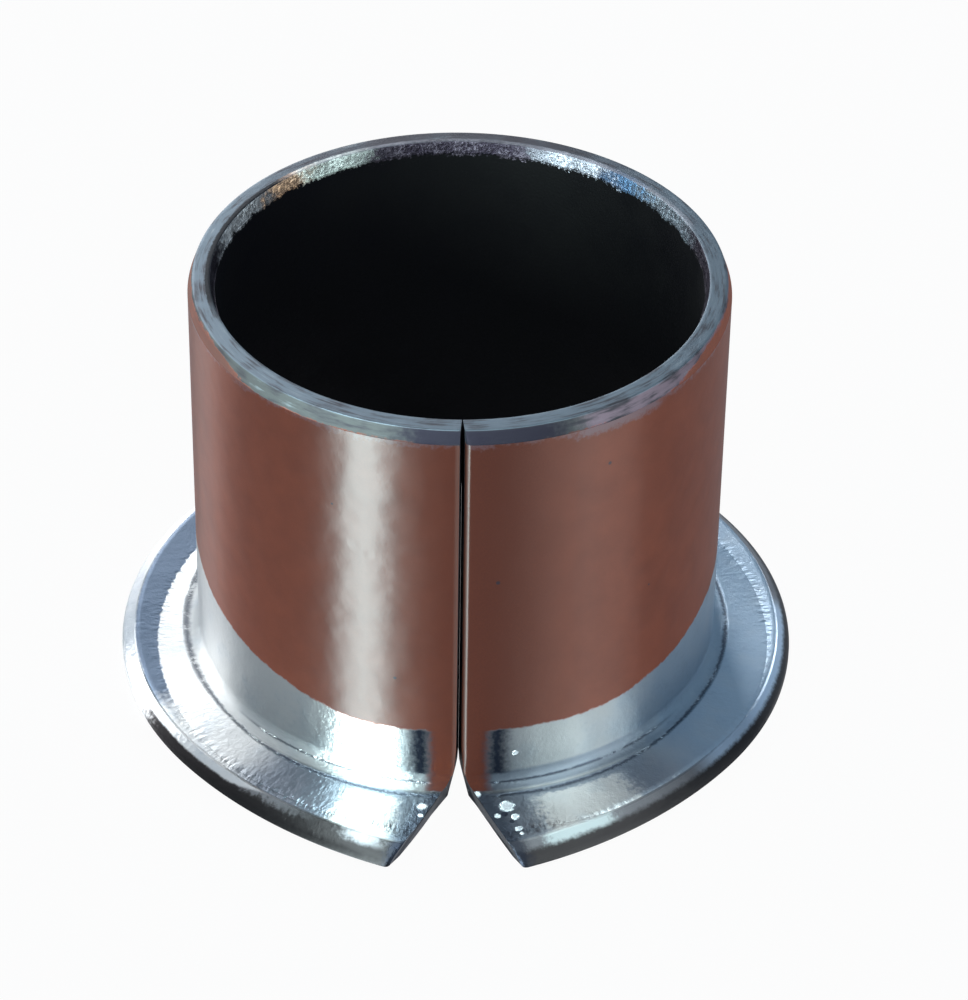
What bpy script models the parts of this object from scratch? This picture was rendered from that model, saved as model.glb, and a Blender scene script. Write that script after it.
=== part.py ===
"""Wrapped flanged bushing, bore 18 mm, outside 20 mm, 17 mm long, as one solid.

A strip 1 mm thick is rolled into a sleeve and turned outwards at its foot into a flange.
Its two ends almost meet in a straight gap, which widens near the foot and opens into a
notch through the flange. +Z is the axis, the flange sits on Z = 0 and the gap faces -Y.
"""

from math import asin, atan2, cos, hypot, pi, radians, sin, sqrt, tan

import bmesh
import bpy

# Strip that the sleeve and the flange are made of
STRIP_T = 0.0010

# Sleeve
BORE_D = 0.0180
LENGTH = 0.0170

# Flange: how far it stands out from the sleeve all round, and the fillet at its foot
FLANGE_W = 0.0030
FOOT_R = 0.0004

# Flange rim: the sloped band on top and the rounded edge underneath
RIM_SLOPE_W = 0.0006
RIM_SLOPE_H = 0.00045
RIM_ROUND_R = 0.00025

# The flange stands out more beside the notch, because the strip's ends stay straighter there
SPREAD_LEFT = 0.0016
SPREAD_RIGHT = 0.0015
SPREAD_ANGLE = radians(52)

# Free end: the lead-in chamfer outside and the break of the bore's edge
LEAD_IN_H = 0.0005
LEAD_IN_ANGLE = radians(20)
BORE_BREAK_H = 0.00045
BORE_BREAK_W = 0.00016

# Gap between the strip's ends, and the rounding of its right edge and of the flange's two corners
GAP_W = 0.00019
EDGE_ROUND = 0.00022

# The gap widens from this height down, along an arc, to this width at the seat face
FLARE_H = 0.0030
FLARE_W = 0.00096

# Notch through the flange: how far inside the sleeve's outside it starts on the bore side,
# how much later it starts on top, and the slope of its two sides
NOTCH_INSET = 0.00025
NOTCH_LAG = 0.00015
NOTCH_LEFT = radians(31.5)
NOTCH_RIGHT = radians(28.5)

# Facets round the whole turn, on each quarter arc of the section and down the flare
TURN_STEPS = 150
ARC_STEPS = 6
FLARE_STEPS = 4

BORE_R = BORE_D / 2
SLEEVE_R = BORE_R + STRIP_T
FLANGE_R = SLEEVE_R + FLANGE_W
FOOT_EDGE_R = SLEEVE_R + FOOT_R
FOOT_TOP = STRIP_T + FOOT_R
START = atan2(GAP_W / 2, SLEEVE_R)
SMALL = 0.000001


def arc(centre, radius, first, last, steps):
    """Points (radius, height) along an arc of the section, both ends included."""
    turns = [first + (last - first) * i / steps for i in range(steps + 1)]
    return [(centre[0] + radius * cos(a), centre[1] + radius * sin(a)) for a in turns]


def flare_heights(foot):
    """Heights from the top of the flare down to just above the bend at its foot."""
    return [FLARE_H - (FLARE_H - foot) * i / FLARE_STEPS for i in range(FLARE_STEPS)]


def outer_side():
    """The side that shows: lead-in, sleeve, foot fillet, top of the flange and its slope."""
    lead_in_w = LEAD_IN_H * tan(LEAD_IN_ANGLE)
    points = [(SLEEVE_R - lead_in_w, LENGTH), (SLEEVE_R, LENGTH - LEAD_IN_H)]
    points += [(SLEEVE_R, z) for z in flare_heights(FOOT_TOP)]
    points += arc((FOOT_EDGE_R, FOOT_TOP), FOOT_R, pi, 3 * pi / 2, ARC_STEPS)
    points += [(FLANGE_R - RIM_SLOPE_W, STRIP_T), (FLANGE_R, STRIP_T - RIM_SLOPE_H)]
    return points


def bore_side():
    """The side that bears: rim underneath, seat face, throat, bore and the break of its edge."""
    points = arc((FLANGE_R - RIM_ROUND_R, RIM_ROUND_R), RIM_ROUND_R, 0, -pi / 2, ARC_STEPS // 2)
    points += arc((FOOT_EDGE_R, FOOT_TOP), FOOT_TOP, -pi / 2, -pi, ARC_STEPS)
    points += [(BORE_R, z) for z in reversed(flare_heights(FOOT_TOP))]
    points += [(BORE_R, LENGTH - BORE_BREAK_H), (BORE_R + BORE_BREAK_W, LENGTH)]
    return points


def turned_solid(name):
    """The closed section turned about Z from one end of the strip to the other, ends filled."""
    outline = [(r, 0, z) for r, z in outer_side() + bore_side()]
    edges = [(i, (i + 1) % len(outline)) for i in range(len(outline))]
    section = bpy.data.meshes.new(name + "_section")
    section.from_pydata(outline, edges, [])
    turned = bpy.data.objects.new(name + "_section", section)
    bpy.context.scene.collection.objects.link(turned)
    screw = turned.modifiers.new("Turn", "SCREW")
    screw.angle = 2 * pi - 2 * START
    screw.steps = TURN_STEPS
    screw.render_steps = TURN_STEPS
    screw.use_smooth_shade = True
    graph = bpy.context.evaluated_depsgraph_get()
    mesh = bpy.data.meshes.new_from_object(turned.evaluated_get(graph))
    bpy.data.objects.remove(turned)
    bpy.data.meshes.remove(section)
    mesh.name = name
    return mesh


def depth(r, z):
    """How deep a point of the section lies in the strip: 0 outside, 1 on the bore side."""
    if z > FOOT_TOP:
        return (SLEEVE_R - r) / STRIP_T
    if r > FOOT_EDGE_R:
        return 1 - z / STRIP_T
    return (hypot(r - FOOT_EDGE_R, z - FOOT_TOP) - FOOT_R) / STRIP_T


def end_offset(r, z, slope):
    """Distance in X from the gap's middle to the strip's end, on the side with this slope."""
    below = max(FLARE_H - z, 0)
    growth = (FLARE_W - GAP_W) / 2
    bow = (FLARE_H ** 2 + growth ** 2) / (2 * growth)
    flare = bow - sqrt(bow ** 2 - below ** 2)
    start = SLEEVE_R - NOTCH_INSET + NOTCH_LAG * (1 - depth(r, z))
    notch = max(r - start, 0) * tan(slope) if z < FOOT_TOP else 0
    return GAP_W / 2 + flare + notch


def spread(r, turn):
    """How much the flange stands out more, at this radius and angle from the notch's middle."""
    most, away = (SPREAD_RIGHT, turn) if turn < pi else (SPREAD_LEFT, 2 * pi - turn)
    near = max(1 - away / SPREAD_ANGLE, 0)
    out = max(r - FOOT_EDGE_R, 0) / (FLANGE_R - FOOT_EDGE_R)
    return most * out * near ** 2


def round_the_corners(solid, ends):
    """Marks the gap's right edge and the flange's two corners for the Bevel modifier."""
    weight = solid.edges.layers.float.new("bevel_weight_edge")
    for edge in solid.edges:
        first, last = [ends.get(vert) for vert in edge.verts]
        if not first or not last or first[0] != last[0]:
            continue
        side, r1, z1 = first
        _, r2, z2 = last
        corner = min(r1, r2) > FLANGE_R - RIM_SLOPE_W - SMALL
        outer_half = max(depth(r1, z1), depth(r2, z2)) < 1 / 2
        gap_edge = side == "right" and outer_half and min(z1, z2) > FOOT_TOP - SMALL
        if corner or gap_edge:
            edge[weight] = 1


def open_the_ends(mesh):
    """Fills the two ends of the strip, then moves them apart to the gap, flare and notch."""
    solid = bmesh.new()
    solid.from_mesh(mesh)
    bmesh.ops.holes_fill(solid, edges=solid.edges, sides=0)
    ends = {}
    for vert in solid.verts:
        r = hypot(vert.co.x, vert.co.y)
        z = vert.co.z
        share = (atan2(vert.co.y, vert.co.x) % (2 * pi - SMALL)) / (2 * pi - 2 * START)
        right = asin(end_offset(r, z, NOTCH_RIGHT) / r)
        left = asin(end_offset(r, z, NOTCH_LEFT) / r)
        turn = right + share * (2 * pi - right - left)
        wide = r + spread(r, turn)
        vert.co = (wide * sin(turn), -wide * cos(turn), z)
        if share * TURN_STEPS < 1 / 2:
            ends[vert] = ("right", r, z)
        elif (1 - share) * TURN_STEPS < 1 / 2:
            ends[vert] = ("left", r, z)
    round_the_corners(solid, ends)
    bmesh.ops.recalc_face_normals(solid, faces=solid.faces)
    solid.to_mesh(mesh)
    solid.free()


def plated_steel():
    """Copper-brown plating on steel, satin."""
    material = bpy.data.materials.new("plated_steel")
    material.use_nodes = True
    shader = material.node_tree.nodes["Principled BSDF"]
    shader.inputs["Base Color"].default_value = (0.30, 0.16, 0.11, 1)
    shader.inputs["Metallic"].default_value = 0.9
    shader.inputs["Roughness"].default_value = 0.38
    return material


def clear_scene():
    for item in list(bpy.data.objects):
        bpy.data.objects.remove(item)


clear_scene()
parts = bpy.data.collections.new("flanged_bushing")
bpy.context.scene.collection.children.link(parts)
shape = turned_solid("bushing")
open_the_ends(shape)
shape.materials.append(plated_steel())
shape.shade_smooth()
shape.set_sharp_from_angle(angle=radians(30))
bushing = bpy.data.objects.new("bushing", shape)
parts.objects.link(bushing)
rounding = bushing.modifiers.new("Edge rounding", "BEVEL")
rounding.limit_method = "WEIGHT"
rounding.width = EDGE_ROUND
rounding.segments = 2
rounding.use_clamp_overlap = False
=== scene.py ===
"""Looks of the wrapped flanged bushing, on a plain pale floor. Metres, +Z up, the gap faces -Y."""

from math import asin, atan2, cos, hypot, pi, radians, sin, sqrt, tan

import bmesh
import bpy
from mathutils import Matrix, Vector


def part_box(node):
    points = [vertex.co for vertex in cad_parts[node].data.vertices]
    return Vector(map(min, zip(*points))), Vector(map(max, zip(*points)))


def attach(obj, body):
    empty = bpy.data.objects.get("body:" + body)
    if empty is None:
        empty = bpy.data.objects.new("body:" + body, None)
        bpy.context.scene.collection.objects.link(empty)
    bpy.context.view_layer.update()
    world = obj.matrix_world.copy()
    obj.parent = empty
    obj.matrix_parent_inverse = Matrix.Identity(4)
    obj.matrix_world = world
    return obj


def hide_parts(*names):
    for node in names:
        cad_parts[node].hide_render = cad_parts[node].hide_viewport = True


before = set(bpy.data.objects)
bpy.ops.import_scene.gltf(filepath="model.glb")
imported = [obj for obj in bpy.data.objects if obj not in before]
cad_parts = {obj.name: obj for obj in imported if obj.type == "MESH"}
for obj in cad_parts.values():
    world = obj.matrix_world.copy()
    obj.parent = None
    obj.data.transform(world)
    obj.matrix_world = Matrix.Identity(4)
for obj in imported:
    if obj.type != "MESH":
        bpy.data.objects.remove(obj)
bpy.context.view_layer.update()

# Rolled strip
# A steel strip 1 mm thick, plated copper-brown outside and lined black inside, is rolled until
# its two ends almost meet in a straight gap. Its foot is turned outwards into a flange, which
# is notched where the gap is.

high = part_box("bushing")[1]
STRIP_T = 0.0010
LINING_T = 0.00003
LENGTH = high.z
FLANGE_R = high.x
SLEEVE_R = 0.0100
BORE_R = SLEEVE_R - STRIP_T
BACK_R = BORE_R + LINING_T
FOOT_R = 0.0004
FOOT_TOP = STRIP_T + FOOT_R
FOOT_EDGE_R = SLEEVE_R + FOOT_R
LEAD_IN_H = 0.0005
LEAD_IN_W = 0.00018
MOUTH_H = 0.00045
MOUTH_W = 0.00013
RIM_SLOPE_H = 0.00045
RIM_SLOPE_W = 0.0006
RIM_ROUND_R = 0.00025
FINE_ROUND = 0.00003
CREST_ROUND = 4 * FINE_ROUND
COLUMNS = 400
THROAT_SEGMENTS = 16
FOOT_SEGMENTS = 10
RIM_SEGMENTS = 5
WALL_ROWS = 48
BORE_ROWS = 30
FLANGE_ROWS = 14
FACE_ROWS = 10
SMOOTH_UP_TO = radians(30)

GAP_OUTSIDE = 0.00019
GAP_INSIDE = 0.000002
FLARE_H = 0.0030
FLARE_INSIDE_H = 0.0019
FLARE_W = 0.00096
NOTCH_INSET = 0.00025
NOTCH_LAG = 0.00015
NOTCH_LEFT = radians(31.5)
NOTCH_RIGHT = radians(28.5)
SPREAD_LEFT = 0.0016
SPREAD_RIGHT = 0.0015
SPREAD_ANGLE = radians(52)
EDGE_ROUND = 0.00024
EDGE_ROUND_FADE = 0.0008
CORNER_ROUND = 0.00022
START = atan2(GAP_OUTSIDE / 2, SLEEVE_R)
END_CROWDING = 0.85


def select(kind, test):
    """Selects only the vertices, edges or faces of the open mesh that pass the test."""
    mesh = bmesh.from_edit_mesh(bpy.context.object.data)
    bpy.ops.mesh.select_mode(type={"verts": "VERT", "edges": "EDGE", "faces": "FACE"}[kind])
    bpy.ops.mesh.select_all(action="DESELECT")
    for item in getattr(mesh, kind):
        if test(item):
            item.select = True
    mesh.select_flush_mode()
    bmesh.update_edit_mesh(bpy.context.object.data)


def near(x, z):
    """A test for the outline's vertex at this radius and height."""
    return lambda vert: hypot(vert.co.x - x, vert.co.z - z) < FINE_ROUND / 10


def between(first, last):
    """A test for the outline's straight edge between two of its vertices."""
    ends = near(*first), near(*last)
    return lambda edge: all(any(end(vert) for vert in edge.verts) for end in ends)


def slide(x, z, by_x, by_z):
    """Moves one vertex of the outline."""
    select("verts", near(x, z))
    bpy.ops.transform.translate(value=(by_x, 0, by_z))


def round_vertex(x, z, size, segments):
    """Rounds one vertex of the outline, or chamfers it with one segment."""
    select("verts", near(x, z))
    bpy.ops.mesh.bevel(offset=size, segments=segments, affect="VERTICES", clamp_overlap=False)


def divide(first, last, cuts):
    """Adds evenly spaced vertices along one straight edge of the outline."""
    select("edges", between(first, last))
    bpy.ops.mesh.subdivide(number_cuts=cuts)


def depth(r, z):
    """How deep a point of the section lies in the strip: 0 outside, 1 on the bore side."""
    if z > FOOT_TOP:
        return (SLEEVE_R - r) / STRIP_T
    if r > FOOT_EDGE_R:
        return 1 - z / STRIP_T
    return (hypot(r - FOOT_EDGE_R, z - FOOT_TOP) - FOOT_R) / STRIP_T


def end_offset(r, z, slope):
    """Distance in X from the gap's middle to the strip's end, on the side with this slope."""
    deep = min(max(depth(r, z), 0), 1)
    gap = GAP_OUTSIDE + (GAP_INSIDE - GAP_OUTSIDE) * deep
    tall = FLARE_H + (FLARE_INSIDE_H - FLARE_H) * deep
    below = max(tall - z, 0)
    growth = (FLARE_W - gap) / 2
    bow = (tall ** 2 + growth ** 2) / (2 * growth)
    flare = bow - sqrt(bow ** 2 - below ** 2)
    start = SLEEVE_R - NOTCH_INSET + NOTCH_LAG * (1 - deep)
    notch = max(r - start, 0) * tan(slope) if z < FOOT_TOP else 0
    return gap / 2 + flare + notch


def spread(r, turn):
    """How much the flange stands out more, at this radius and angle from the notch's middle."""
    most, away = (SPREAD_RIGHT, turn) if turn < pi else (SPREAD_LEFT, 2 * pi - turn)
    close = max(1 - away / SPREAD_ANGLE, 0)
    out = max(r - FOOT_EDGE_R, 0) / (FLANGE_R - FOOT_EDGE_R)
    return most * out * close ** 2


def arc_drop(along, size):
    """How far a round of this size has fallen at this distance from its edge."""
    return size - sqrt(size ** 2 - (size - along) ** 2) if along < size else 0


def rounded(r, z, turn):
    """The radius after the rounding of the gap's right edge and of the flange's two corners."""
    along = min(turn, 2 * pi - turn) * r
    if turn < pi and z > FOOT_TOP:
        size = EDGE_ROUND * min((z - FOOT_TOP) / EDGE_ROUND_FADE, 1)
        if size > 0:
            r = min(r, SLEEVE_R - arc_drop(along, size))
    squeezed = 3 * CORNER_ROUND
    if r > FLANGE_R - squeezed:
        share = (r - FLANGE_R + squeezed) / squeezed
        r -= share * arc_drop(along, CORNER_ROUND)
    return r


def open_the_ends(mesh):
    """Crowds the columns towards the strip's ends and moves these to the gap, flare and notch.

    A column at the start can lie a hair below angle 0, which % turns into almost a full turn.
    """
    whole = 2 * pi - 2 * START
    for vert in mesh.verts:
        r = hypot(vert.co.x, vert.co.y)
        z = vert.co.z
        angle = atan2(vert.co.y, vert.co.x) % (2 * pi)
        share = 0 if angle > 2 * pi - START / 2 else min(angle / whole, 1)
        share -= END_CROWDING * sin(2 * pi * share) / (2 * pi)
        right = asin(end_offset(r, z, NOTCH_RIGHT) / r)
        left = asin(end_offset(r, z, NOTCH_LEFT) / r)
        inner = share * (2 * pi - right - left)
        turn = right + inner
        wide = rounded(r, z, inner if inner < pi else inner + right + left) + spread(r, turn)
        vert.co = (wide * sin(turn), -wide * cos(turn), z)


def section(name, inside_r, underside, thick, top, edge_r):
    """Opens a new piece with the outline of its section: a wall, and a flange at its foot."""
    bpy.ops.object.select_all(action="DESELECT")
    corner = (inside_r + thick / 2, 0, underside + thick / 2)
    bpy.ops.mesh.primitive_plane_add(size=thick, location=corner, rotation=(pi / 2, 0, 0))
    piece = bpy.context.object
    piece.name = name
    bpy.ops.object.transform_apply(location=True, rotation=True, scale=True)
    bpy.ops.object.mode_set(mode="EDIT")
    outside_r = inside_r + thick
    shelf = underside + thick
    wall_foot = between((inside_r, shelf), (outside_r, shelf))
    flange_root = between((outside_r, underside), (outside_r, shelf))
    select("edges", wall_foot)
    bpy.ops.mesh.extrude_region_move(TRANSFORM_OT_translate={"value": (0, 0, top - shelf)})
    select("edges", flange_root)
    bpy.ops.mesh.extrude_region_move(TRANSFORM_OT_translate={"value": (edge_r - outside_r, 0, 0)})
    select("faces", lambda face: True)
    bpy.ops.mesh.delete(type="ONLY_FACE")
    select("edges", lambda edge: wall_foot(edge) or flange_root(edge))
    bpy.ops.mesh.delete(type="EDGE")
    select("verts", lambda vert: near(inside_r, shelf)(vert) or near(outside_r, underside)(vert))
    bpy.ops.mesh.dissolve_verts()
    return piece


def roll_up(piece):
    """Turns the section round the axis, closes its two ends and opens them to the notch."""
    bpy.ops.mesh.select_all(action="SELECT")
    bpy.ops.mesh.spin(steps=COLUMNS, angle=2 * pi - 2 * START, center=(0, 0, 0), axis=(0, 0, -1))
    bpy.ops.mesh.select_mode(type="EDGE")
    bpy.ops.mesh.select_all(action="DESELECT")
    bpy.ops.mesh.select_non_manifold(extend=False)
    bpy.ops.mesh.fill_holes(sides=0)
    open_the_ends(bmesh.from_edit_mesh(piece.data))
    bmesh.update_edit_mesh(piece.data)
    bpy.ops.mesh.select_all(action="SELECT")
    bpy.ops.mesh.normals_make_consistent(inside=False)


strip = section("bushing_strip", BACK_R, LINING_T, STRIP_T - LINING_T, LENGTH, FLANGE_R)

# Its corners: throat, foot, lead-in, bore's mouth, and the rim's slope and round
lead_in_low = (SLEEVE_R, LENGTH - LEAD_IN_H)
lead_in_high = (SLEEVE_R - LEAD_IN_W, LENGTH)
mouth_high = (BACK_R + MOUTH_W, LENGTH)
mouth_low = (BACK_R, LENGTH - MOUTH_H)
rim_high = (FLANGE_R - RIM_SLOPE_W, STRIP_T)
rim_low = (FLANGE_R, STRIP_T - RIM_SLOPE_H)

round_vertex(BACK_R, LINING_T, FOOT_TOP - LINING_T, THROAT_SEGMENTS)
round_vertex(SLEEVE_R, STRIP_T, FOOT_R, FOOT_SEGMENTS)
round_vertex(SLEEVE_R, LENGTH, LEAD_IN_W, 1)
slide(SLEEVE_R, LENGTH - LEAD_IN_W, 0, LEAD_IN_W - LEAD_IN_H)
round_vertex(BACK_R, LENGTH, MOUTH_W, 1)
slide(BACK_R, LENGTH - MOUTH_W, 0, MOUTH_W - MOUTH_H)
round_vertex(FLANGE_R, STRIP_T, RIM_SLOPE_H, 1)
slide(FLANGE_R - RIM_SLOPE_H, STRIP_T, RIM_SLOPE_H - RIM_SLOPE_W, 0)
round_vertex(FLANGE_R, LINING_T, RIM_ROUND_R, RIM_SEGMENTS)

# Rows where the gap flares and the flange spreads
divide(lead_in_low, (SLEEVE_R, FOOT_TOP), WALL_ROWS)
divide(mouth_low, (BACK_R, FOOT_TOP), BORE_ROWS)
divide((FOOT_EDGE_R, STRIP_T), rim_high, FLANGE_ROWS)
divide(rim_high, rim_low, 3)
divide((FLANGE_R - RIM_ROUND_R, LINING_T), (FOOT_EDGE_R, LINING_T), FACE_ROWS)
divide(lead_in_low, lead_in_high, 3)
divide(lead_in_high, mouth_high, 5)
divide(mouth_high, mouth_low, 4)

# Fine rounds on the corners that are left
for corner in [lead_in_low, lead_in_high, mouth_high]:
    round_vertex(*corner, FINE_ROUND, 2)
for corner in [rim_high, rim_low]:
    round_vertex(*corner, CREST_ROUND, 4)

roll_up(strip)


class Out:
    """One output of a node. Operators add Math nodes to its tree, and add() any other node."""

    def __init__(self, tree, socket=None):
        self.tree = tree
        self.socket = socket

    def add(self, kind, settings=None, sockets=None, output=0):
        """A node of this type, its settings made first, and then its sockets set or linked."""
        made = self.tree.nodes.new("ShaderNode" + kind)
        for name, value in (settings or {}).items():
            setattr(made, name, value)
        for name, value in (sockets or {}).items():
            if isinstance(value, Out):
                self.tree.links.new(value.socket, made.inputs[name])
            else:
                made.inputs[name].default_value = value
        return Out(self.tree, made.outputs[output] if made.outputs else None)

    def parts(self):
        """All outputs of this output's node."""
        return [Out(self.tree, socket) for socket in self.socket.node.outputs]

    def maths(self, operation, *values):
        """A Math node of this operation on these values."""
        return self.add("Math", {"operation": operation}, dict(enumerate(values)))

    def __add__(self, other):
        return self.maths("ADD", self, other)

    def __sub__(self, other):
        return self.maths("SUBTRACT", self, other)

    def __rsub__(self, other):
        return self.maths("SUBTRACT", other, self)

    def __mul__(self, other):
        return self.maths("MULTIPLY", self, other)

    def __truediv__(self, other):
        return self.maths("DIVIDE", self, other)

    def __abs__(self):
        return self.maths("ABSOLUTE", self)

    __radd__ = __add__
    __rmul__ = __mul__

    def either(self, other):
        """The larger of the two values."""
        return self.maths("MAXIMUM", self, other)

    def at_most(self, other):
        """The smaller of the two values."""
        return self.maths("MINIMUM", self, other)

    def over(self, first, last):
        """0 where this value is at first and 1 where it is at last, smooth in between."""
        limits = {"Value": self, "From Min": first, "From Max": last}
        return self.add("MapRange", {"interpolation_type": "SMOOTHSTEP"}, limits)

    def line(self, half_width):
        """1 where this value is 0, down to 0 at this far from it."""
        return abs(self).over(half_width, 0)

    def noise(self, scale, detail=3, roughness=0.5):
        """Noise about 0, with about this many bumps to each millimetre of this position."""
        values = {"Vector": self, "Scale": scale, "Detail": detail, "Roughness": roughness}
        return self.add("TexNoise", sockets=values) - 0.5

    def spot(self, x, y, z, size):
        """1 near this point in millimetres, down to 0 at this far from it."""
        far = self.add("VectorMath", {"operation": "DISTANCE"}, {0: self, 1: (x, y, z)}, 1)
        return far.over(size, 0)

    def blend(self, first, last):
        """The colour first where this value is 0, and last where it is 1."""
        return self.add("Mix", {"data_type": "RGBA"}, {0: self, 6: first, 7: last}, 2)


def finish(name):
    """A new material with an empty node tree, and the start of that tree."""
    material = bpy.data.materials.new(name)
    material.use_nodes = True
    material.node_tree.nodes.clear()
    return material, Out(material.node_tree)


MM_IN_METRE = 1000


def position(start):
    """Position on the piece in millimetres, with its x, y, z, radius and angle from the gap."""
    place = start.add("TexCoord", output="Object")
    place = place.add("VectorMath", {"operation": "SCALE"}, {0: place, "Scale": MM_IN_METRE})
    x, y, z = place.add("SeparateXYZ", sockets={0: place}).parts()
    r = start.maths("SQRT", x * x + y * y)
    return place, x, y, z, r, x.maths("ARCTAN2", x, y * -1)


def wear(place):
    """The coarse, ragged and fine noise that breaks up the edges and colours of the metal."""
    return place.noise(0.9, 3), place.noise(5, 4, 0.65), place.noise(16, 2)


def spots(place, points):
    """1 at any of these points, each given in millimetres with how far it reaches."""
    found = place.spot(*points[0])
    for point in points[1:]:
        found = found.either(place.spot(*point))
    return found


def bumps(start, relief):
    """The normal of a surface with this relief in millimetres."""
    return start.add("Bump", sockets={"Distance": 1 / MM_IN_METRE, "Height": relief})


def coat(piece, material, test):
    """Puts one more material on a piece in edit mode, on the faces that pass the test."""
    piece.data.materials.append(material)
    select("faces", test)
    piece.active_material_index = len(piece.data.materials) - 1
    bpy.ops.object.material_slot_assign()


# The outside: copper-brown plating, burnished away by the forming tool at the foot, on the
# flange and on the end face. It stays beside the gap, where the tool didn't press. Places on it
# are in millimetres, and turns in radians from the gap to the right. A pair of numbers is where
# a change begins and ends.
COPPER = (0.405, 0.080, 0.026, 1)
COPPER_DARK = (0.300, 0.056, 0.017, 1)
COPPER_PAINTED_SHADE = (0.230, 0.045, 0.015, 1)
COPPER_WORN = (0.380, 0.230, 0.230, 1)
STEEL = (0.43, 0.44, 0.44, 1)
STEEL_BLUE = (0.30, 0.38, 0.46, 1)
STAIN_AND_SHADE = (0.030, 0.036, 0.055, 1)
STEEL_SHADE = (0.110, 0.140, 0.185, 1)
STEEL_LIP = (0.108, 0.140, 0.190, 1)
SHEARED = (0.20, 0.20, 0.215, 1)
SHEARED_DARK = (0.060, 0.055, 0.056, 1)
SHEARED_BLACK = (0.028, 0.026, 0.027, 1)
SHEARED_LEFT_HIGHLIGHT = (0.64, 0.65, 0.66, 1)
SHEARED_FRONT_HIGHLIGHT = (0.50, 0.56, 0.57, 1)
SHEARED_BLUE_REFLECTION = (0.48, 0.58, 0.70, 1)
GLINT_WHITE = (0.9, 0.93, 0.95, 1)
BAND_TOP = 3.2
BAND_LEAST = 3.48
BAND_MOST = 5.6
BAND_CLIMB = 2.7
BAND_TILT = 0.25
PLATED_ARC = (0.9, 1.3)
PLATED_R = (10.42, 10.54)
PLATED_Z = (1.45, 1.3)
COPPER_SHADE_TURN = 0.15
WORN_TURN = 0.60
STAIN_ARC = 1.42
STAIN_WIDE = 0.7
RIM_LEFT = (-1.05, -1.2)
RIM_BACK = (-2.6, -2.2)
RIM_SLOPE_TOP = (0.97, 0.90)
RIM_LEFT_HIGHLIGHT_TURN = -0.27
RIM_HIGHLIGHT_TURN = 0.35
RIM_BLUE_FROM = (0.75, 0.9)
RIM_BLUE_TO = (1.7, 1.6)
RIGHT_FROM = (0.45, 0.95)
RIGHT_TO_BACK = (2.9, 2.0)
NOTCH_SLANT = 0.425
NOTCH_TO_EDGE = 3.86
FOOT_LINE = 9.06
FOOT_LINE_R = 10.50
FOOT_Z = (1.6, 1.4)
FLANGE_TOP = (0.9, 0.95)
LEFT_PATCH = -0.29
RIGHT_PATCH = 0.41
DISH_R = 10.7
DISH_FALL = 0.19
LIP_R = 11.75
LIP_RISE = 0.35
RADIAL_GRAIN = 0.25

# Small domes made white as painted glints, dark pits and shallow dents: x, y, z and how far each
# reaches, in millimetres
GLINT_CHIPS = [
    (1.78, -11.26, 1, 0.42),
    (2.07, -11.85, 1, 0.24),
    (1.42, -11.83, 1, 0.18),
    (2.2, -12.5, 1, 0.2),
    (2.3, -12.76, 1, 0.12),
    (0.68, -10.62, 1, 0.24),
    (-1.34, -11.3, 1, 0.3),
    (-1.42, -11.8, 1, 0.16),
    (2.09, -9.78, 2.3, 0.16),
]
PITS = [
    (1.33, -9.91, 10.35, 0.12),
    (5.25, -8.51, 14.65, 0.11),
    (-2.35, -9.72, 5.81, 0.10),
    (-4.6, -8.9, 13.1, 0.08),
    (6.9, -7.2, 8.2, 0.08),
    (1.68, -11.72, 1, 0.2),
    (1.95, -12.12, 1, 0.15),
]
DENTS = [(-3.78, -9.26, 11.54, 0.35), (-3.3, -9.43, 11.25, 0.3)]

plating, start = finish("plated_steel")
place, x, y, z, r, turn = position(start)
front = y / r * -1
side = x / r
arc = turn * (SLEEVE_R * MM_IN_METRE)
coarse, ragged, fine = wear(place)
wide = place.noise(0.45, 2)
rays = start.add("CombineXYZ", sockets={0: side * 60, 1: front * 60, 2: r * 2.5 + z * 2.5})
teeth = rays.noise(1, 2)

# Where it is bare
edge = (1 - front) * BAND_CLIMB - side * BAND_TILT + BAND_TOP
edge = edge.either(BAND_LEAST).at_most(BAND_MOST)
below_band = (z - edge + coarse * 0.25 + ragged * 0.22).over(0.06, -0.06)
beside_gap = (abs(arc) + ragged * 0.3).over(*PLATED_ARC)
kept_to = beside_gap.either((r + ragged * 0.15).over(*PLATED_R))
below_foot = (z + ragged * 0.25).over(*PLATED_Z) * kept_to
bare = (below_band * beside_gap).either(below_foot)
stain = (abs(arc) - STAIN_ARC + ragged * 0.6).line(STAIN_WIDE) * below_band * (1 - below_foot)

# Where it is rough, dark or creased: the rim, the notch's edges, and two lines along the foot
left = (turn + ragged * 0.2).over(*RIM_LEFT) * turn.over(*RIM_BACK)
front_left = turn.over(-0.15, -0.4) * turn.over(-1.3, -1.1)
worn_rim = turn.over(-0.55, -0.75) * turn.over(-1.3, -1.1)
slope = (z + ragged * 0.05 + worn_rim * 0.22).over(*RIM_SLOPE_TOP) * r.over(11.5, 11.6)
lower_slope = (z + ragged * 0.14).over(0.80, 0.66) * slope * (1 - left)
rough_slope = slope * (front + ragged * 0.3).over(0.3, 0.6)
notch_edge = (abs(x) - r * NOTCH_SLANT + NOTCH_TO_EDGE) * z.over(1.3, 1.1)
beside_notch = (notch_edge + ragged * 0.6 + coarse * 0.4).over(0.85, 0.25)
beside_notch = beside_notch * r.over(10.4, 10.55) * front.over(0.8, 0.9)
foot_upper = (r - z - FOOT_LINE + coarse * 0.1 + ragged * 0.1).line(0.11)
foot_upper = foot_upper * front.over(0.55, 0.75)
past_line = r - front.over(0.45, 1) * 0.3 - FOOT_LINE_R
foot_lower = (past_line + coarse * 0.1 + ragged * 0.2).line(left * 0.1 + 0.13)
foot_lower = foot_lower * z.over(1.2, 1.1)
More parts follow.
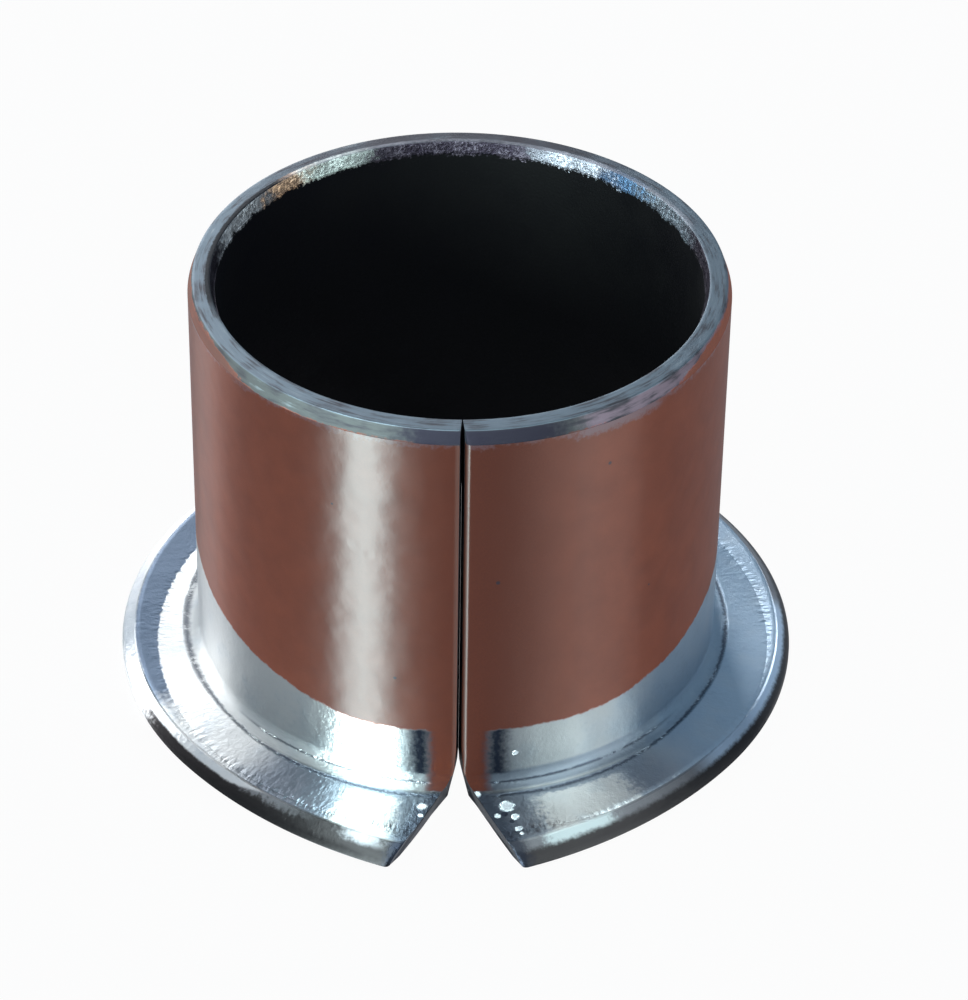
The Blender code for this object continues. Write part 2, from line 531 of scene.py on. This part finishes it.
unbroken = (ragged * 1.5 + coarse * 1.5 + 0.52).over(0.1, 0.5)
crease = foot_upper.either(foot_lower) * beside_gap * unbroken
chips_and_glints = spots(place, GLINT_CHIPS)
chips_and_glints = (chips_and_glints + (ragged + fine) * 1.1 * chips_and_glints.over(0, 0.15)).over(0.15, 0.55)
pits = spots(place, PITS)
dents = spots(place, DENTS)
worn = (turn - WORN_TURN + ragged * 0.1).line(0.24).over(0, 0.3)
worn = worn * (z + ragged * 0.6).over(16.0, 16.3)
worn = worn.either((z + ragged * 0.9 + coarse * 0.6).over(16.25, 16.6) * 0.7)

# Painted shade darkens the front of the flange, except on two patches where the lamps' highlights
# fall
on_flange = z.over(*FLANGE_TOP) * r.over(10.5, 10.7)
right_patch = (turn - RIGHT_PATCH + ragged * 0.15).line(0.22).over(0, 0.4)
left_patch = (turn - LEFT_PATCH + ragged * 0.1).line(0.13).over(0, 0.4)
patch = right_patch.either(left_patch) * (r + ragged * 0.5).over(10.95, 11.15)
painted_shade_front = abs(turn).over(0.8, 0.6) * (1 - patch) * on_flange
foot = z.over(*FOOT_Z) * r.over(10.6, 10.4)

copper = (coarse * 1.5 + fine * 0.5 + 0.5).blend(COPPER, COPPER_DARK)
# Painted shade: the copper just right of the gap at the front is darker.
copper = ((turn - COPPER_SHADE_TURN).line(0.4) * (1 - fine)).blend(copper, COPPER_PAINTED_SHADE)
copper = (worn * 0.8).blend(copper, COPPER_WORN)
# Bluer steel towards the right is a painted reflection of the blue room, mixed with random tone.
blue_reflection_right = turn.over(*RIGHT_FROM) * turn.over(*RIGHT_TO_BACK)
steel = (coarse * 0.8 + blue_reflection_right).blend(STEEL, STEEL_BLUE)
steel = ((ragged + coarse).over(0, 0.7) * 0.4).blend(steel, STEEL_SHADE)
# Painted shade also darkens the foot at the front right, where it mirrors the right lamps.
shaded_foot = foot * (turn.over(-0.2, 0) * turn.over(0.9, 0.6)) * 0.75
steel = (painted_shade_front * 0.8).either(shaded_foot).blend(steel, STEEL_SHADE)
colour = bare.blend(copper, steel)
colour = stain.blend(colour, STAIN_AND_SHADE)
beyond = r - (front + side * 0.25 + LIP_R)
shade = (beyond + teeth * 0.3).over(-0.05, 0.05) * left * z.over(*FLANGE_TOP)
colour = (shade * r.over(11, 11.05)).blend(colour, STEEL_LIP)
speckles_and_highlight = turn.over(-0.4, -0.6) * (ragged + teeth + z * 2).over(1.35, 1.75)
sheared = turn.over(-0.45, -0.6).blend(SHEARED_BLACK, SHEARED_DARK)
# Besides the speckles, a painted highlight: a lighter line on the rim's slope at the front left.
speckles_and_highlight = speckles_and_highlight.either((turn - RIM_LEFT_HIGHLIGHT_TURN + ragged * 0.1).line(0.09))
other_side = turn.over(-0.05, 0.1).either(turn.over(-1.5, -2.5))
sheared = other_side.either(speckles_and_highlight).blend(sheared, SHEARED)
# Painted highlight: a light stretch on the rim's slope at the front right.
rim_highlight = (turn - RIM_HIGHLIGHT_TURN + ragged * 0.1).line(0.15).over(0, 0.4)
sheared = rim_highlight.blend(sheared, SHEARED_FRONT_HIGHLIGHT)
# Painted reflection: the rim's slope is blue at the right, mirroring the blue room.
sheared = (turn.over(*RIM_BLUE_FROM) * turn.over(*RIM_BLUE_TO)).blend(sheared, SHEARED_BLUE_REFLECTION)
# Painted highlight: the rim's slope is white at the left.
colour = slope.blend(colour, left.blend(sheared, SHEARED_LEFT_HIGHLIGHT))
colour = lower_slope.blend(colour, other_side.blend(SHEARED_BLACK, SHEARED_DARK))
# Painted shade darkens the flange beside the notch's edges and the two creases at the foot, whose
# relief is real; the pits are dark marks.
colour = (beside_notch * 0.8).blend(colour, STAIN_AND_SHADE)
colour = (crease * 0.8).either(pits.over(0.1, 0.5) * 0.8).blend(colour, STAIN_AND_SHADE)
# Painted glints: the small domes are made white.
colour = (chips_and_glints * (coarse * 2 + fine + 0.8)).blend(colour, GLINT_WHITE)

# Its relief in millimetres: the flange is dished, with a lip towards the rim
lip = beyond.either(0) * LIP_RISE + teeth * beyond.line(0.35) * 0.035
relief = (
    fine * 0.0015
    + coarse * 0.012
    + wide * 0.025
    + ragged * bare * 0.011
    + (teeth * (front_left * 0.007 + 0.005) - (r - DISH_R) * DISH_FALL + lip) * on_flange
    - crease * 0.02
    - dents * 0.006
    + chips_and_glints * 0.05
    + beside_notch * ragged * 0.03
)
roughness = (
    0.44
    - bare * 0.12
    + rough_slope * 0.3
    + beside_notch * 0.15
    + foot * 0.14
    + abs(arc).over(0.35, 0.15) * 0.45
    + chips_and_glints * 0.3
)
outside = start.add("BsdfPrincipled", sockets={
    "Base Color": colour,
    "Metallic": bare,
    "Roughness": roughness,
    "Specular IOR Level": 0.5,
    "Anisotropic": 1.0,
    "Anisotropic Rotation": RADIAL_GRAIN,
    "Normal": bumps(start, relief),
})
start.add("OutputMaterial", sockets={"Surface": outside})
strip.data.materials.append(plating)


# The bore's mouth: sintered bronze and steel grains, which wear of the lining has laid bare.
# Their colour holds painted highlights in three stretches on each side, at these turns from the
# gap.
GRAINS_Z = (16.47, 16.54)
GRAIN_DARK = (0.016, 0.013, 0.019, 1)
GRAIN_GREY = (0.065, 0.056, 0.070, 1)
LIT_TURN = 2.57
LIT_LEFT = (0.60, 0.66, 0.62, 1)
LIT_RIGHT = (0.29, 0.30, 0.34, 1)
TINTED_TURN = 2.36
TINTED_LEFT = (0.80, 0.50, 0.31, 1)
TINTED_RIGHT = (0.06, 0.14, 0.25, 1)
DIM_TURN = 2
DIM_LEFT = (0.62, 0.62, 0.64, 1)
DIM_RIGHT = (0.17, 0.20, 0.23, 1)


def mouth_grains(place, x, z, turn):
    """How far the grains show at this place, their colour with its painted highlights, and their
    relief.
    """
    grains = place.noise(6.5, 3, 0.7)
    blotch = place.noise(1.6, 2)
    away = abs(turn) + blotch * 0.3 + grains * 0.25
    shown = (z + grains * 0.55 + blotch * 0.35).over(*GRAINS_Z)
    right = x.over(-1, 1)
    flakes = (grains + blotch * 0.5 + 0.5).over(0.4, 0.75)
    lit = (away - right * 0.07 - LIT_TURN).line(0.27).over(0, 0.7)
    tinted = (away - TINTED_TURN).line(0.17)
    dim = (away - right * 0.1 - DIM_TURN).line(0.36).over(0, 0.8)
    colour = flakes.blend(GRAIN_DARK, GRAIN_GREY)
    colour = (dim * (flakes * 0.6 + 0.3)).blend(colour, right.blend(DIM_LEFT, DIM_RIGHT))
    colour = (lit * (flakes * 0.6 + 0.35)).blend(colour, right.blend(LIT_LEFT, LIT_RIGHT))
    colour = (tinted * (flakes * 0.6 + 0.3)).blend(colour, right.blend(TINTED_LEFT, TINTED_RIGHT))
    return shown, colour, grains * 0.07


# The end face and the lead-in: satin, bare at the front and copper-brown further round
END_GREY = (0.108, 0.134, 0.160, 1)
END_BROWN = (0.048, 0.045, 0.053, 1)
END_LIGHT = (0.34, 0.35, 0.39, 1)
END_SHADOW_DARK = (0.010, 0.011, 0.014, 1)
LEAD_IN_GREY = (0.074, 0.077, 0.078, 1)
LEAD_IN_WORN = (0.165, 0.125, 0.150, 1)
LEAD_IN_PAINTED_SHADE = (0.02, 0.018, 0.028, 1)
STREAK_DARK = (0.045, 0.043, 0.050, 1)
STREAK_LIGHT = (0.20, 0.23, 0.25, 1)
LEAD_IN_R = (9.81, 9.84)
LEAD_IN_SHADE_TURN = 0.08
PLATING_Z = 16.46
PLATING_DROP = 0.42
WORN_RIGHT = (1.85, 2.0)
WORN_AND_SHADOWED_LEFT = (-1.2, -1.4)

satin, start = finish("end_face")
place, x, y, z, r, turn = position(start)
coarse, ragged, fine = wear(place)
rings = start.add("CombineXYZ", sockets={0: x / r * 7, 1: y / r * 7, 2: (r + z) * 9})
streaks = rings.noise(1, 3, 0.6)
sideways = abs(turn)
on_lead_in = r.over(*LEAD_IN_R)
lead_edge = sideways.over(0.8, 1.15) * PLATING_DROP + PLATING_Z
bare = (z - lead_edge + ragged * 0.2 + streaks * 0.3).over(-0.06, 0.06)
# Painted shade: the lead-in is almost black at the front, just right of the gap.
painted_shade_front = (turn - LEAD_IN_SHADE_TURN + ragged * 0.15).line(0.45).over(0, 0.5) * on_lead_in
copper = (coarse * 1.5 + fine * 0.5 + 0.5).blend(COPPER, COPPER_DARK)
flat = (sideways.over(2.0, 2.9) * 0.95 + coarse * 0.6).blend(END_GREY, END_BROWN)
on_right = (turn + ragged * 0.1).over(0.4, 0.5) * turn.over(*RIGHT_TO_BACK)
sloped = on_right.blend(LEAD_IN_GREY, LEAD_IN_WORN)
grey = on_lead_in.blend(flat, sloped)
grey = (streaks * 2 + coarse).over(-0.1, 0.5).blend(grey, STREAK_DARK)
grey = (streaks * -2 - coarse).over(0.2, 0.8).blend(grey, STREAK_LIGHT)
colour = bare.blend(copper, grey)
colour = (painted_shade_front * 0.93).blend(colour, LEAD_IN_PAINTED_SHADE)
grains = mouth_grains(place, x, z, turn)[1]
worn_and_shadowed_sides = turn.over(*WORN_RIGHT).either(turn.over(*WORN_AND_SHADOWED_LEFT))
worn = (r + ragged * 0.12).over(9.40, 9.33) * worn_and_shadowed_sides
grains = ((ragged + coarse + 0.6) * 0.5).blend(grains, END_LIGHT)
# Painted shadow: at the left, the end face's inner edge is dark where it meets the bore's mouth.
grains = (turn.over(-2.42, -2.28) * turn.over(-1.0, -1.2)).blend(grains, END_SHADOW_DARK)
colour = worn.blend(colour, grains)
relief = ragged * 0.008 + coarse * 0.01 + fine * 0.002
ring = start.add("BsdfPrincipled", sockets={
    "Base Color": colour,
    "Metallic": bare,
    "Roughness": on_lead_in * 0.25 + 0.5,
    "Normal": bumps(start, relief),
})
start.add("OutputMaterial", sockets={"Surface": ring})
coat(strip, satin, lambda face: face.calc_center_median().z > LENGTH - LEAD_IN_H - FINE_ROUND)

# The two cut ends: sheared steel with bright grains, the left one lighter
CUT_DARK = (0.045, 0.045, 0.055, 1)
CUT_GREY = (0.150, 0.150, 0.170, 1)
CUT_BRIGHT = (0.35, 0.36, 0.38, 1)

sheared, start = finish("sheared_ends")
place, x = position(start)[:2]
grains = place.noise(6, 3, 0.7)
shine = grains.over(0.12, 0.2)
grey = x.over(0.05, -0.05).blend(CUT_DARK, CUT_GREY)
cut = start.add("BsdfPrincipled", sockets={
    "Base Color": shine.blend(grey, CUT_BRIGHT),
    "Metallic": 1.0,
    "Roughness": 0.45,
    "Normal": bumps(start, grains * 0.05),
})
start.add("OutputMaterial", sockets={"Surface": cut})
coat(strip, sheared, lambda face: len(face.verts) > 4)

# The slope into the bore: bare grains, black where some of the lining is left on them
MOUTH_BLACK = (0.004, 0.004, 0.006, 1)
MOUTH_OUT_TO_R = BACK_R + MOUTH_W + FINE_ROUND / 2


def grainy_metal(start, colour, relief):
    """The shader of bare grains with this colour and relief."""
    return start.add("BsdfPrincipled", sockets={
        "Base Color": colour,
        "Metallic": 1.0,
        "Roughness": 0.5,
        "Normal": bumps(start, relief),
    })


def in_mouth(face):
    """Whether this face is on the slope into the bore, and not a cut end."""
    middle = face.calc_center_median()
    high_and_inside = middle.z > LENGTH - 2 * MOUTH_H and hypot(*middle.xy) < MOUTH_OUT_TO_R
    return len(face.verts) == 4 and high_and_inside


grainy, start = finish("bore_mouth")
place, x, y, z, r, turn = position(start)
shown, colour, relief = mouth_grains(place, x, z, turn)
colour = shown.blend(MOUTH_BLACK, colour)
start.add("OutputMaterial", sockets={"Surface": grainy_metal(start, colour, relief)})
coat(strip, grainy, in_mouth)
bpy.ops.object.mode_set(mode="OBJECT")
bpy.ops.object.shade_smooth_by_angle(angle=SMOOTH_UP_TO)

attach(strip, "root")
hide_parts("bushing")

# Sliding lining
# A black polymer layer, pressed into the strip's inner side before it was rolled. It covers
# the bore, the throat and the flange's outer face, and its edge is worn at the bore's mouth.

LINING_TOP = LENGTH - MOUTH_H
LINING_EDGE_R = FLANGE_R - RIM_ROUND_R
BLACK = (0.0020, 0.0020, 0.0042, 1)
BLACK_RUBBED = (0.0045, 0.0045, 0.0075, 1)
LINING_ROUGH = 0.66
RUBBED_SMOOTHER = 0.14

lining = section("bushing_lining", BORE_R, 0, LINING_T, LINING_TOP, LINING_EDGE_R)
round_vertex(BORE_R, 0, FOOT_TOP, THROAT_SEGMENTS)
round_vertex(BACK_R, LINING_T, FOOT_TOP - LINING_T, THROAT_SEGMENTS)
for side_r in [BORE_R, BACK_R]:
    divide((side_r, LINING_TOP), (side_r, FOOT_TOP), BORE_ROWS)
for side_z in [0, LINING_T]:
    divide((FOOT_EDGE_R, side_z), (LINING_EDGE_R, side_z), FACE_ROWS)
roll_up(lining)
bpy.ops.object.mode_set(mode="OBJECT")
bpy.ops.object.shade_smooth_by_angle(angle=SMOOTH_UP_TO)

black, start = finish("sliding_lining")
place, x, y, z, r, turn = position(start)
rubbed = (place.noise(0.5, 3) + place.noise(12, 2) * 0.5 + 0.5).over(0.3, 0.8)
polymer = start.add("BsdfPrincipled", sockets={
    "Base Color": rubbed.blend(BLACK, BLACK_RUBBED),
    "Roughness": rubbed * -RUBBED_SMOOTHER + LINING_ROUGH,
    "Specular IOR Level": 0.08,
    "Normal": bumps(start, place.noise(9, 3) * 0.01),
})
shown, colour, relief = mouth_grains(place, x, z, turn)
bared = grainy_metal(start, colour, relief)
start.add("OutputMaterial", sockets={
    "Surface": start.add("MixShader", sockets={0: shown, 1: polymer, 2: bared}),
})
lining.data.materials.append(black)

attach(lining, "root")
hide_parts("bushing")

# Floor
# A plain pale sheet on which the bushing stands, almost white to the camera and grey where the
# metal mirrors it. It lies a hair below the flange's face, so that the two don't share a plane.

FLOOR_SEEN = 0.96
FLOOR_MIRRORED = 0.36
FLOOR_SIZE = 4
FLOOR_Z = -0.00002
PAPER = (0.8, 0.8, 0.8, 1)
WHITE = (1, 1, 1, 1)

bpy.ops.object.select_all(action="DESELECT")
bpy.ops.mesh.primitive_plane_add(size=FLOOR_SIZE, location=(0, 0, FLOOR_Z))
floor = bpy.context.object
floor.name = "floor"
sheet, start = finish("floor")
seen = start.add("LightPath", output="Is Camera Ray")
mirrored = start.add("LightPath", output="Is Glossy Ray")
paper = start.add("BsdfDiffuse", sockets={"Color": PAPER})
white = start.add("Emission", sockets={"Color": WHITE, "Strength": 1.0})
share = (seen * FLOOR_SEEN).either(mirrored * FLOOR_MIRRORED)
start.add("OutputMaterial", sockets={
    "Surface": start.add("MixShader", sockets={0: share, 1: paper, 2: white}),
})
floor.data.materials.append(sheet)

# Studio light
# A pale blue room, greyer overhead, with soft boxes that show only in reflections: two strong
# ones in front at the left, four at the far left and behind, and two weak ones at the right.

HORIZON = (0.40, 0.53, 0.66, 1)
OVERHEAD = (0.34, 0.38, 0.44, 1)
LAMP_AWAY = 0.30

room = bpy.data.worlds.new("studio")
bpy.context.scene.world = room
room.use_nodes = True
room.node_tree.nodes.clear()
start = Out(room.node_tree)
direction = start.add("TexCoord", output="Generated")
up = start.add("SeparateXYZ", sockets={0: direction}, output="Z")
walls = up.over(0.5, 1).blend(HORIZON, OVERHEAD)
seen = start.add("LightPath", output="Is Camera Ray")
start.add("OutputWorld", sockets={
    "Surface": start.add("Background", sockets={"Color": seen.blend(walls, WHITE)}),
})


def soft_box(name, azimuth, elevation, width, height, brightness, colour=(1, 1, 1)):
    """A lamp that faces the bushing, at degrees from the front, to the right and up."""
    light = bpy.data.lights.new(name, "AREA")
    light.shape = "RECTANGLE"
    light.size = width
    light.size_y = height
    light.energy = brightness * pi * width * height
    light.color = colour
    box = bpy.data.objects.new(name, light)
    bpy.context.scene.collection.objects.link(box)
    turned, raised = radians(azimuth), radians(elevation)
    away = Vector((sin(turned) * cos(raised), -cos(turned) * cos(raised), sin(raised)))
    box.location = Vector((0, 0, LENGTH / 2)) + away * LAMP_AWAY
    box.rotation_mode = "QUATERNION"
    box.rotation_quaternion = away.to_track_quat("Z", "Y")
    box.visible_camera = False
    box.visible_diffuse = False


soft_box("key_low", -37, 12, 0.078, 0.12, 108, (0.80, 1, 1))
soft_box("key_high", -40, 50, 0.055, 0.18, 36, (0.80, 1, 1))
soft_box("left_front", -95, 50, 0.16, 0.10, 1.2)
soft_box("left_low", -118, 20, 0.12, 0.14, 10)
soft_box("left_high", -140, 50, 0.08, 0.12, 4)
soft_box("back_left", -165, 26, 0.09, 0.16, 7)
soft_box("right_low", 60, 18, 0.13, 0.14, 6, (0.90, 1, 1))
soft_box("right_high", 50, 50, 0.10, 0.14, 11, (0.85, 1, 1))

# Camera
# It stands as the photograph's did, a little to the left of the gap and 155 mm away, looking
# down at 36 degrees.

AIM = Vector((0, 0, 0.0085))
CAMERA_AZIMUTH = radians(-0.9)
CAMERA_ELEVATION = radians(36.30)
CAMERA_DISTANCE = 0.15505
CAMERA_ROLL = radians(0.669)
IMAGE_LONG = 1000
FOCAL_PIXELS = 4090
OFF_CENTRE = (26.15, -39.76)
NEAREST = 0.01

away = Vector((
    sin(CAMERA_AZIMUTH) * cos(CAMERA_ELEVATION),
    -cos(CAMERA_AZIMUTH) * cos(CAMERA_ELEVATION),
    sin(CAMERA_ELEVATION),
))
lens = bpy.data.cameras.new("camera")
lens.lens = FOCAL_PIXELS / IMAGE_LONG * lens.sensor_width
lens.shift_x = OFF_CENTRE[0] / IMAGE_LONG
lens.shift_y = OFF_CENTRE[1] / IMAGE_LONG
lens.clip_start = NEAREST
camera = bpy.data.objects.new("camera", lens)
bpy.context.scene.collection.objects.link(camera)
camera.matrix_world = (
    Matrix.Translation(AIM + away * CAMERA_DISTANCE)
    @ away.to_track_quat("Z", "Y").to_matrix().to_4x4()
    @ Matrix.Rotation(CAMERA_ROLL, 4, "Z")
)
bpy.context.scene.camera = camera
bpy.context.scene.view_settings.view_transform = "Standard"
